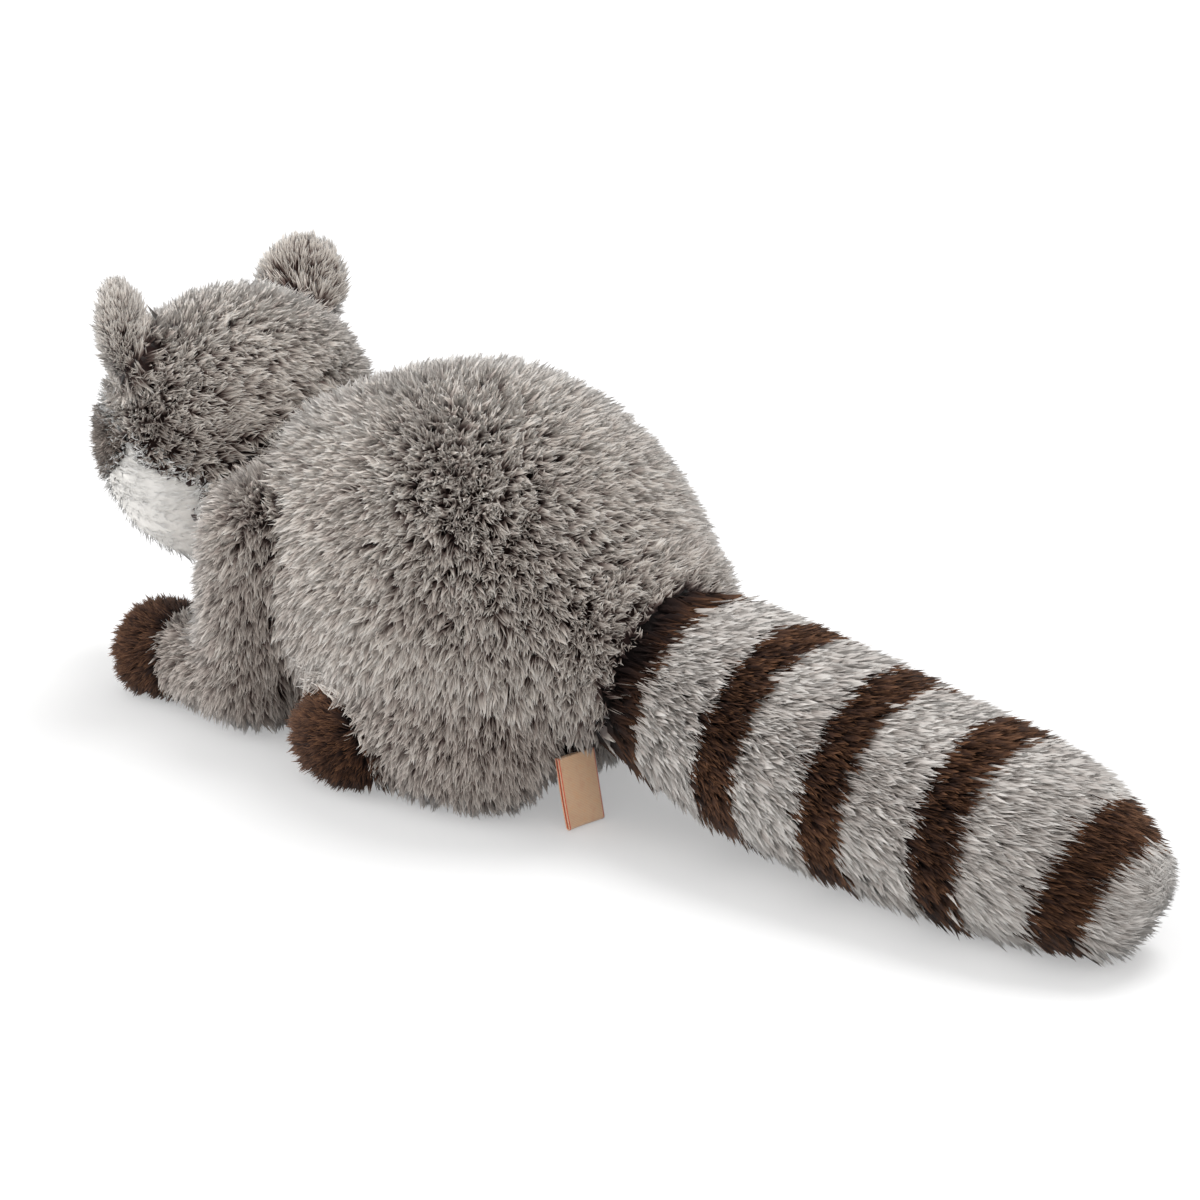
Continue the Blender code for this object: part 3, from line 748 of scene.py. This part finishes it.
def plastic_material(name, colour, roughness, coat):
    """Moulded plastic with a faint unevenness in its gloss and surface."""
    material, tree, shader = new_material(name)
    place = tree.nodes.new("ShaderNodeTexCoord").outputs["Object"]
    grain = add_node(tree, "TexNoise", {"Vector": place, "Scale": 900.0, "Detail": 3.0})
    grain = grain.outputs["Fac"]
    least, most = (roughness * share for share in GRAIN_GLOSS)
    gloss = add_node(tree, "MapRange", {"Value": grain, "To Min": least, "To Max": most})
    shades = [[part * share for part in colour] for share in GRAIN_SHADES]
    looks = {
        "Base Color": ramp(tree, CLOUD_STOPS, shades, grain),
        "Roughness": gloss.outputs["Result"],
        "Normal": relief(tree, grain, strength=0.06, distance=0.1 * MM),
        "Coat Weight": coat,
        "Coat Roughness": 0.06,
    }
    feed(tree, shader, looks)
    return material


def ribbon_material():
    """Peach satin ribbon: fine ribs across it and a thin red line woven in along each edge."""
    material, tree, shader = new_material("peach_satin")
    place, parts = uv_place(tree, "ribbon")
    from_middle = maths(tree, "ABSOLUTE", maths(tree, "SUBTRACT", parts["X"], 0.5))
    ribs = {"Vector": place, "Scale": 9.0, "Distortion": 0.6}
    ribs = add_node(tree, "TexWave", ribs, bands_direction="Y").outputs["Fac"]
    cloud = {"Vector": place, "Scale": 5.0, "Detail": 4.0}
    cloud = add_node(tree, "TexNoise", cloud).outputs["Fac"]
    tints = (
        ramp(tree, CLOUD_STOPS, CLOUD_COLOURS, cloud),
        ramp(tree, THREAD_STOPS, THREAD_COLOURS, ribs),
    )
    colour = ramp(tree, LINE_STOPS, LINE_COLOURS, from_middle)
    for tint in tints:
        layers = {"Factor": 1.0, "A": colour, "B": tint}
        mixed = add_node(tree, "Mix", layers, data_type="RGBA", blend_type="MULTIPLY")
        colour = mixed.outputs["Result"]
    looks = {
        "Base Color": colour,
        "Normal": relief(tree, ribs, strength=0.35, distance=0.05 * MM),
        "Roughness": 0.42,
        "Sheen Weight": 0.9,
    }
    feed(tree, shader, looks)
    return material


def panel_name(node, place):
    """The sewn panel that a place on a node's cloth belongs to."""
    if node != "body":
        return f"plush_{node}"
    if place[2] < BELLY_TOP:
        return "plush_belly"
    return "plush_back_left" if place[0] > 0 else "plush_back_right"


def node_shown(names, index):
    """The node whose panel covers this one. The cloth over an eye's seat is part of the eye patch."""
    name = names[index]
    return f"mask_{name.rsplit('_', 1)[1]}" if name.startswith("eye") else name


def panel_of_each(names, owners, places):
    """The panel of every triangle or strand and the node that it stands for, as two arrays."""
    shown = [node_shown(names, owner) for owner in owners]
    return np.array([panel_name(node, place) for node, place in zip(shown, places)]), np.array(shown)


def make_panel(skin, panel, node, material, chosen, pile, pile_facing):
    """One panel of backing with its pile, riding on the toy."""
    shell_points, shell_triangles = closed_shell(skin.points, skin.normals, skin.triangles[chosen])
    pile_points, pile_triangles, pile_tones = strand_mesh(*pile)
    shell_tones = np.tile(np.array([BACKING_TONE, BACKING_HEIGHT]), (len(shell_points), 1))
    points = np.concatenate([shell_points, pile_points])
    triangles = np.concatenate([shell_triangles, pile_triangles + len(shell_points)])
    tones_and_heights = np.concatenate([shell_tones, pile_tones])
    facing = np.concatenate([np.zeros_like(shell_points), np.repeat(pile_facing, 4, axis=0)])
    look = pile_of(node).look
    mesh = build_mesh(panel, points, triangles, tones_and_heights, facing, OWN_SHADING[look])
    piece = add_piece(panel, mesh, material, node)


def eye_middles():
    """The middle of each eye's ball, from the eye's own node: its front lies one radius ahead."""
    found = {}
    for name in ("eye_left", "eye_right"):
        points, _ = mesh_arrays(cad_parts[name].data)
        washer = middle(name.replace("eye", "eye_washer"))
        outward = unit(points[np.argmax(np.linalg.norm(points - washer, axis=1))] - washer)
        far = np.max((points - washer) @ outward)
        found[name] = washer + outward * (far - EYE_RADIUS)
    return found


def label_place():
    """The label's middle, its own three axes and its half size along each, from its node.

    The axes run along it, across it and out of its broad faces. Its two sides hang level.
    """
    points, triangles = mesh_arrays(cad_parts["care_label"].data)
    faces = facings(points, triangles)
    _, directions = np.linalg.eigh(unit(faces).T @ faces)
    out = directions[:, -1]
    across = unit(np.cross(UP, out))
    axes = np.stack([np.cross(across, out), across, out])
    centre = points.mean(axis=0)
    local = (points - centre) @ axes.T
    low, high = local.min(axis=0), local.max(axis=0)
    return {"middle": centre + ((low + high) / 2) @ axes, "axes": axes, "half": (high - low) / 2}


EYES = eye_middles()
LABEL = label_place()


def smooth_mesh(name, points, faces):
    """A mesh of its own whose faces all look outwards, shaded smooth."""
    mesh = bpy.data.meshes.new(name)
    mesh.from_pydata([tuple(point) for point in points], [], faces)
    shape = bmesh.new()
    shape.from_mesh(mesh)
    bmesh.ops.recalc_face_normals(shape, faces=shape.faces)
    shape.to_mesh(mesh)
    shape.free()
    mesh.shade_smooth()
    return mesh


def round_faces(rings, count):
    """The faces of a closed form of one end point, rings of this many points, and the other end."""
    last = 1 + rings * count
    faces = [(0, 1 + (k + 1) % count, 1 + k) for k in range(count)]
    for first in range(1, last - count, count):
        second = first + count
        faces += [
            (first + k, first + (k + 1) % count, second + (k + 1) % count, second + k)
            for k in range(count)
        ]
    top = last - count
    faces += [(last, top + k, top + (k + 1) % count) for k in range(count)]
    return faces


def turned(name, start, outward, section):
    """A closed form turned round a line: section is (distance along it, radius) from end to end."""
    side = unit(np.cross(outward, UP))
    other = np.cross(outward, side)
    angles = 2 * np.pi * np.arange(ROUND_STEPS) / ROUND_STEPS
    around = np.cos(angles)[:, None] * side + np.sin(angles)[:, None] * other
    points = [start + outward * section[0][0]]
    for along, radius in section[1:-1]:
        points.extend(start + outward * along + around * radius)
    points.append(start + outward * section[-1][0])
    return smooth_mesh(name, points, round_faces(len(section) - 2, ROUND_STEPS))


def eye_section():
    """A safety eye from the end of its shank to the front of its ball."""
    join = math.acos(-math.sqrt(1 - (SHANK_RADIUS / EYE_RADIUS) ** 2))
    end = -EYE_RADIUS - SHANK_LENGTH + SHANK_BEVEL
    section = [
        (end, 0.0),
        (end, SHANK_RADIUS - SHANK_BEVEL),
        (end + SHANK_BEVEL / 2, SHANK_RADIUS - SHANK_BEVEL / 4),
        (end + SHANK_BEVEL, SHANK_RADIUS),
        (EYE_RADIUS * math.cos(join) - SHANK_BEVEL, SHANK_RADIUS),
    ]
    for index in range(BALL_STEPS + 1):
        angle = join * (1 - index / BALL_STEPS)
        section.append((EYE_RADIUS * math.cos(angle), EYE_RADIUS * math.sin(angle)))
    return section


def make_eyes(material):
    """The two safety eyes, each on the line from its washer."""
    for name, centre in EYES.items():
        outward = unit(centre - middle(name.replace("eye", "eye_washer")))
        ball = turned(f"ball_{name}", centre, outward, eye_section())
        add_piece(f"safety_{name}", ball, material, name)


def make_nose(material):
    """A moulded nose: wide at the top, narrow below, with a hollow for each nostril."""
    low, high = (np.array(corner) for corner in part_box("nose"))
    centre, half = (low + high) / 2, (high - low) / 2
    points = [centre - half * BACKWARD]
    for row in range(1, NOSE_ROWS):
        angle = np.pi * row / NOSE_ROWS
        for k in range(ROUND_STEPS):
            turn = 2 * np.pi * k / ROUND_STEPS
            across, up = np.sin(angle) * np.cos(turn), np.sin(angle) * np.sin(turn)
            hollow = sum(
                math.exp(
                    -(((across - side) / NOSTRIL_WIDTH) ** 2)
                    - ((up + NOSTRIL_DROP) / NOSTRIL_HEIGHT) ** 2
                )
                for side in (-NOSTRIL_ACROSS, NOSTRIL_ACROSS)
            )
            ahead = np.cos(angle) - (NOSTRIL_DEPTH * hollow if angle < np.pi / 2 else 0.0)
            narrowing = NOSE_MIDDLE + NOSE_TAPER * up
            points.append(centre + half * np.array((across * narrowing, -ahead, up)))
    points.append(centre + half * BACKWARD)
    mesh = smooth_mesh("moulded_nose", points, round_faces(NOSE_ROWS - 1, ROUND_STEPS))
    add_piece("moulded_nose", mesh, material, "nose")


def ribbon_line(length):
    """The ribbon's middle in section, down one layer, round its fold and up the other, with the
    way that its outer face looks at each step and the whole length."""
    half_gap = (RIBBON_GAP + RIBBON_THICKNESS) / 2
    straight = length - half_gap - RIBBON_THICKNESS / 2
    turn = np.pi * half_gap
    whole = 2 * straight + turn
    line, faces_out = [], []
    for step in np.linspace(0.0, whole, RIBBON_STEPS):
        if step < straight:
            line.append((half_gap, step))
            faces_out.append((1.0, 0.0))
        elif step < straight + turn:
            angle = (step - straight) / half_gap
            line.append((half_gap * math.cos(angle), straight + half_gap * math.sin(angle)))
            faces_out.append((math.cos(angle), math.sin(angle)))
        else:
            line.append((-half_gap, whole - step))
            faces_out.append((-1.0, 0.0))
    return line, faces_out, whole


def ribbon_faces():
    """The faces of the ribbon's two broad sides and of the strips that join them round its edge."""
    sheet = RIBBON_STEPS * RIBBON_ACROSS

    def strip(first, second):
        """The face between the two sides from one point of the edge to the next."""
        return (first, second, second + sheet, first + sheet)

    faces = []
    for row in range(0, sheet - RIBBON_ACROSS, RIBBON_ACROSS):
        below = row + RIBBON_ACROSS
        for place in range(RIBBON_ACROSS - 1):
            quad = (row + place, below + place, below + place + 1, row + place + 1)
            faces += [quad, tuple(index + sheet for index in reversed(quad))]
        for place in (0, RIBBON_ACROSS - 1):
            faces.append(strip(row + place, below + place))
    for place in range(RIBBON_ACROSS - 1):
        for row in (0, sheet - RIBBON_ACROSS):
            faces.append(strip(row + place, row + place + 1))
    return faces


def make_label(material):
    """The ribbon label, folded once and sewn in at its two ends."""
    down, across, out = LABEL["axes"]
    down = down * -np.sign(down[2])
    out = out * np.sign(out[0])
    half = LABEL["half"][0]
    line, faces_out, whole = ribbon_line(2 * half)
    steps = list(zip(line, faces_out, np.linspace(0, 1, RIBBON_STEPS)))
    top = LABEL["middle"] - down * half
    places = np.linspace(-0.5, 0.5, RIBBON_ACROSS)
    edge = RIBBON_EDGE * np.exp(-(((np.abs(places) - EDGE_PLACE) / EDGE_WIDTH) ** 2))
    points, uvs = [], []
    for side in (1.0, -1.0):
        thick = side * (RIBBON_THICKNESS / 2 + edge)
        for (offset, drop), (out_share, down_share), run in steps:
            facing = out * out_share + down * down_share
            slack = drop / (2 * half)
            wave = RIBBON_WAVE * slack * np.sin(WAVE_ACROSS * places + WAVE_DOWN * slack)
            wave = wave + RIBBON_TWIST * slack**2 * places
            for place, bend, rise in zip(places, wave, thick):
                points.append(
                    top + down * drop + out * (offset + bend) + facing * rise
                    + across * place * RIBBON_WIDTH
                )
                uvs.append((place + 0.5, run * whole / RIBBON_WIDTH))
    mesh = smooth_mesh("ribbon_label", points, ribbon_faces())
    layer = mesh.uv_layers.new(name="ribbon")
    corners = np.empty(len(mesh.loops), dtype=np.int32)
    mesh.loops.foreach_get("vertex_index", corners)
    layer.data.foreach_set("uv", np.array(uvs, dtype=np.float32)[corners].ravel())
    label = add_piece("ribbon_label", mesh, material, "care_label")


def make_camera():
    """The camera that sees the toy from behind its left side."""
    azimuth, elevation = math.radians(CAMERA_AZIMUTH), math.radians(CAMERA_ELEVATION)
    target = Vector(CAMERA_TARGET)
    outward = Vector(
        (
            math.sin(azimuth) * math.cos(elevation),
            -math.cos(azimuth) * math.cos(elevation),
            math.sin(elevation),
        )
    )
    data = bpy.data.cameras.new("camera")
    data.lens = CAMERA_LENS
    data.sensor_width = CAMERA_SENSOR
    data.clip_start = CAMERA_NEAR
    camera = placed("camera", data)
    camera.location = target + outward * CAMERA_DISTANCE
    camera.rotation_euler = outward.to_track_quat("Z", "Y").to_euler()
    bpy.context.scene.camera = camera


def sun(name, towards, strength, softness):
    """A soft lamp far away, which lights everything evenly from one side."""
    data = bpy.data.lights.new(name, "SUN")
    data.energy = strength
    data.angle = math.radians(softness)
    placed(name, data).rotation_euler = Vector(towards).to_track_quat("Z", "Y").to_euler()


def seen_share(tree):
    """1 for what the camera sees straight, in a reflection or through glass, and 0 for light."""
    path = tree.nodes.new("ShaderNodeLightPath")
    share = path.outputs["Is Camera Ray"]
    for ray in ("Is Glossy Ray", "Is Transmission Ray"):
        share = maths(tree, "MAXIMUM", share, path.outputs[ray])
    return share


def plain(level):
    """A shade between black at 0 and white at 1."""
    return (level, level, level, 1.0)


def make_world():
    """A soft surround, which looks white where it is seen."""
    world = bpy.data.worlds.new("studio")
    bpy.context.scene.world = world
    world.use_nodes = True
    tree = world.node_tree
    tree.nodes.clear()
    lighting, seen = (
        add_node(tree, "Background", {"Color": plain(1.0), "Strength": strength})
        for strength in (WORLD_LIGHT, 1.0)
    )
    glow = {"Fac": seen_share(tree), 1: lighting.outputs["Background"], 2: seen.outputs["Background"]}
    mixed = add_node(tree, "MixShader", glow)
    add_node(tree, "OutputWorld", {"Surface": mixed.outputs["Shader"]})


def floor_material():
    """Paper that is paler where it is seen than for the light that it gives back, with some white
    of its own where it is seen. So the toy's shadow on it stays soft."""
    material, tree, shader = new_material("pale_floor")
    seen = seen_share(tree)
    shades = {"Factor": seen, "A": plain(FLOOR_COLOUR), "B": plain(FLOOR_SEEN_COLOUR)}
    paper = add_node(tree, "Mix", shades, data_type="RGBA").outputs["Result"]
    feed(tree, shader, {"Base Color": paper, "Roughness": 0.9, "Specular IOR Level": 0.1})
    white = add_node(tree, "Emission", {"Strength": 1.0}).outputs["Emission"]
    share = maths(tree, "MULTIPLY", seen, FLOOR_OWN_WHITE)
    mixed = add_node(tree, "MixShader", {"Fac": share, 1: shader.outputs["BSDF"], 2: white})
    feed(tree, tree.nodes["Material Output"], {"Surface": mixed.outputs["Shader"]})
    return material


def make_studio():
    """A pale floor, a white surround and two soft lamps."""
    make_world()
    mesh = bpy.data.meshes.new("floor")
    corners = [(FLOOR_REACH * x, FLOOR_REACH * y, 0) for x, y in ((-1, -1), (1, -1), (1, 1), (-1, 1))]
    mesh.from_pydata(corners, [], [(0, 1, 2, 3)])
    mesh.materials.append(floor_material())
    floor = placed("floor", mesh)
    sun("key", *KEY_LIGHT)
    sun("fill", *FILL_LIGHT)


def make_toy():
    """The panels with their pile, then the eyes, the nose, the label and the washers' plastic."""
    skin = make_skin()
    materials = {name: pile_material(name) for name in LOOKS}
    points, tone, facing, owners, seen = all_strands(skin)
    strand_panels, _ = panel_of_each(skin.names, owners, seen)
    centres = skin.outside[skin.triangles].mean(axis=1)
    cloth_panels, cloth_nodes = panel_of_each(skin.names, skin.owners, centres)
    for panel in sorted(set(cloth_panels)):
        cloth = np.flatnonzero(cloth_panels == panel)
        node = str(cloth_nodes[cloth[0]])
        grown = strand_panels == panel
        material = materials[pile_of(node).look]
        pile = (points[grown], tone[grown])
        make_panel(skin, str(panel), node, material, cloth, pile, facing[grown])
    make_eyes(plastic_material("eye_gloss", *EYE_GLOSS))
    make_nose(plastic_material("nose_gloss", *NOSE_GLOSS))
    make_label(ribbon_material())
    washer = plastic_material("washer_moulding", *WASHER_MOULDING)
    for name in ("eye_washer_left", "eye_washer_right"):
        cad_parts[name].material_slots[0].material = washer


bpy.context.scene.view_settings.view_transform = "Standard"
make_camera()
make_studio()
make_toy()
